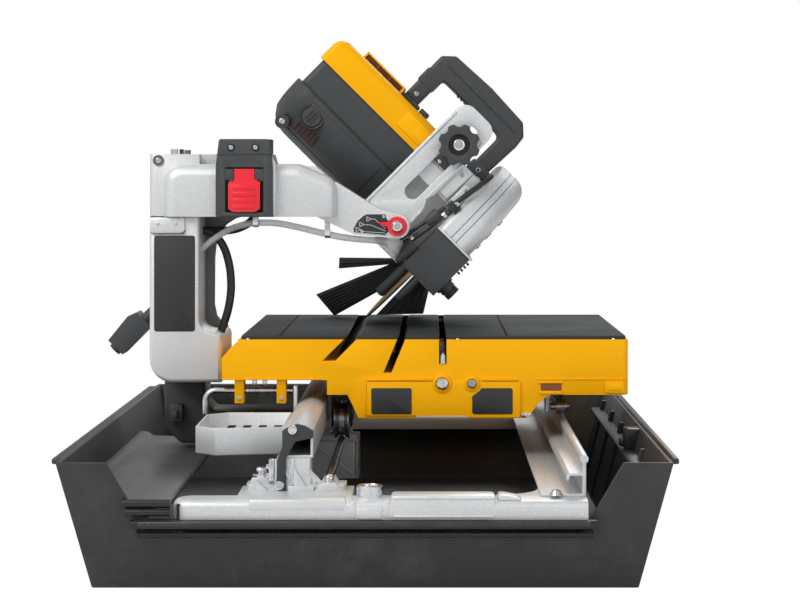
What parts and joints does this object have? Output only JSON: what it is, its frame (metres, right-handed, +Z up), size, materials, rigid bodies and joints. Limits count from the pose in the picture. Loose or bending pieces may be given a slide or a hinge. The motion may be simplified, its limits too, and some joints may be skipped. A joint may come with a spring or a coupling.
{
  "type": "wet tile saw",
  "caption": "Bench wet tile saw: water pan, sliding cart on rails, cantilever arm with a bevelling, plunging motor head, blade and guard.",
  "frame": {"origin": "middle of the water pan's underside", "axes": "+Z up, +Y away from the operator along the cart's travel, +X to the right"},
  "size_m": [0.6614, 0.864, 0.6034],
  "materials": {
    "pan_plastic": "textured moulding",
    "black_plastic": "fine texture",
    "cast_silver": "silver paint on casting",
    "rail_aluminium": "extruded, clear anodised",
    "dark_casting": "dark paint",
    "yellow_plastic": "satin moulding",
    "pad_rubber": "matt",
    "flap_rubber": "ribbed",
    "chrome": "plated",
    "steel": "turned",
    "blade_steel": "ground, diamond rim",
    "red_plastic": "gloss",
    "clear_tube": "clear vinyl",
    "lead_rubber": "smooth",
    "copper_winding": "varnished winding"
  },
  "bodies": {
    "root": {"water_pan": "pan_plastic", "front_beam": "cast_silver", "rear_beam": "cast_silver", "beam_bushing": "chrome", "rail_supports": "cast_silver", "left_rail": "rail_aluminium", "right_rail": "rail_aluminium", "frame_bolts": "chrome", "rail_end_bracket": "dark_casting", "guide_rod": "chrome", "accessory_tray": "cast_silver", "column_foot": "dark_casting", "column": "cast_silver", "arm": "cast_silver", "switch_box": "black_plastic", "water_tube": "clear_tube", "motor_lead": "lead_rubber", "pump_outlet": "black_plastic", "lock_bracket": "cast_silver"},
    "cart": {"cart_shell": "yellow_plastic", "cart_pads": "pad_rubber", "left_roller_forks": "dark_casting", "right_roller_plates": "steel"},
    "roller_left_front": {"roller_left_front": "steel"},
    "roller_left_rear": {"roller_left_rear": "steel"},
    "roller_right_front": {"roller_right_front": "steel"},
    "roller_right_rear": {"roller_right_rear": "steel"},
    "lock_pin": {"cart_lock_pin": "chrome"},
    "indicator": {"cut_indicator": "chrome"},
    "bevel_head": {"bevel_bracket": "cast_silver", "bevel_bolt": "chrome", "bevel_pointer": "red_plastic"},
    "bevel_lock": {"bevel_lock_knob": "black_plastic"},
    "plunge_head": {"slider_block": "black_plastic", "gearbox_housing": "cast_silver", "gear_cover": "dark_casting", "bearings": "steel", "motor_housing": "black_plastic", "motor_cover": "yellow_plastic", "motor_end_cap": "black_plastic", "brush_cap": "black_plastic", "motor_field": "copper_winding", "blade_guard": "cast_silver", "guard_skirt": "black_plastic", "port_cap": "black_plastic", "splash_flap_left": "flap_rubber", "splash_flap_right": "flap_rubber", "splash_flap_top": "flap_rubber", "guard_water_pipe": "black_plastic", "handle": "black_plastic"},
    "plunge_lock": {"plunge_knob": "black_plastic"},
    "blade_spindle": {"spindle": "steel", "blade": "blade_steel", "blade_flanges": "steel", "arbor_nut": "steel", "drive_gear": "steel"},
    "armature_shaft": {"armature": "copper_winding", "motor_fan": "black_plastic", "drive_pinion": "steel"},
    "paddle": {"switch_paddle": "red_plastic"}
  },
  "joints": [
    {"name": "cart_slide", "type": "slide", "parent": "root", "child": "cart", "axis": [0, 1, 0], "range_m": [-0.3, 0.2]},
    {"name": "roll_left_front", "type": "hinge", "parent": "cart", "child": "roller_left_front", "pos_m": [-0.04, -0.002, 0.1327], "axis": [1, 0, 0], "range_deg": [-1000, 1000]},
    {"name": "roll_right_front", "type": "hinge", "parent": "cart", "child": "roller_right_front", "pos_m": [0.23, -0.002, 0.1486], "axis": [1, 0, 0], "range_deg": [-2000, 2000]},
    {"name": "roll_left_rear", "type": "hinge", "parent": "cart", "child": "roller_left_rear", "pos_m": [-0.04, 0.198, 0.1327], "axis": [1, 0, 0], "range_deg": [-1000, 1000]},
    {"name": "roll_right_rear", "type": "hinge", "parent": "cart", "child": "roller_right_rear", "pos_m": [0.23, 0.198, 0.1486], "axis": [1, 0, 0], "range_deg": [-2000, 2000]},
    {"name": "lock_pin_slide", "type": "slide", "parent": "cart", "child": "lock_pin", "axis": [1, 0, 0], "range_m": [0, 0.012]},
    {"name": "indicator_slide", "type": "slide", "parent": "cart", "child": "indicator", "axis": [1, 0, 0], "range_m": [-0.0015, 0.0015]},
    {"name": "switch_press", "type": "hinge", "parent": "root", "child": "paddle", "pos_m": [-0.1555, -0.06, 0.436], "axis": [1, 0, 0], "range_deg": [-20, 0], "stiffness_Nm_per_rad": 0.05},
    {"name": "head_bevel", "type": "hinge", "parent": "root", "child": "bevel_head", "pos_m": [0.0286, -0.013, 0.371], "axis": [0, 1, 0], "range_deg": [-45, 0], "deforming": ["splash_flap_left", "splash_flap_right", "splash_flap_top"]},
    {"name": "bevel_lock_turn", "type": "hinge", "parent": "bevel_head", "child": "bevel_lock", "pos_m": [0.0286, 0.026, 0.371], "axis": [0, 1, 0], "continuous": true},
    {"name": "head_plunge", "type": "slide", "parent": "bevel_head", "child": "plunge_head", "axis": [-0.7071, 0, -0.7071], "range_m": [0, 0.045]},
    {"name": "plunge_lock_turn", "type": "hinge", "parent": "plunge_head", "child": "plunge_lock", "pos_m": [0.10426, -0.002, 0.4707], "axis": [0, 1, 0], "continuous": true},
    {"name": "blade_spin", "type": "hinge", "parent": "plunge_head", "child": "blade_spindle", "pos_m": [0.07704, 0.122, 0.34165], "axis": [0.7071, 0, -0.7071], "continuous": true},
    {"name": "armature_spin", "type": "hinge", "parent": "plunge_head", "child": "armature_shaft", "pos_m": [-0.03002, 0.122, 0.49623], "axis": [0.7071, 0, -0.7071], "continuous": true}
  ],
  "couplings": [
    {"joint": "roll_left_front", "follows": "cart_slide", "rad_per_m": -51.546},
    {"joint": "roll_right_front", "follows": "cart_slide", "rad_per_m": -111.11},
    {"joint": "roll_left_rear", "follows": "cart_slide", "rad_per_m": -51.546},
    {"joint": "roll_right_rear", "follows": "cart_slide", "rad_per_m": -111.11},
    {"joint": "armature_spin", "follows": "blade_spin", "ratio": -3}
  ]
}
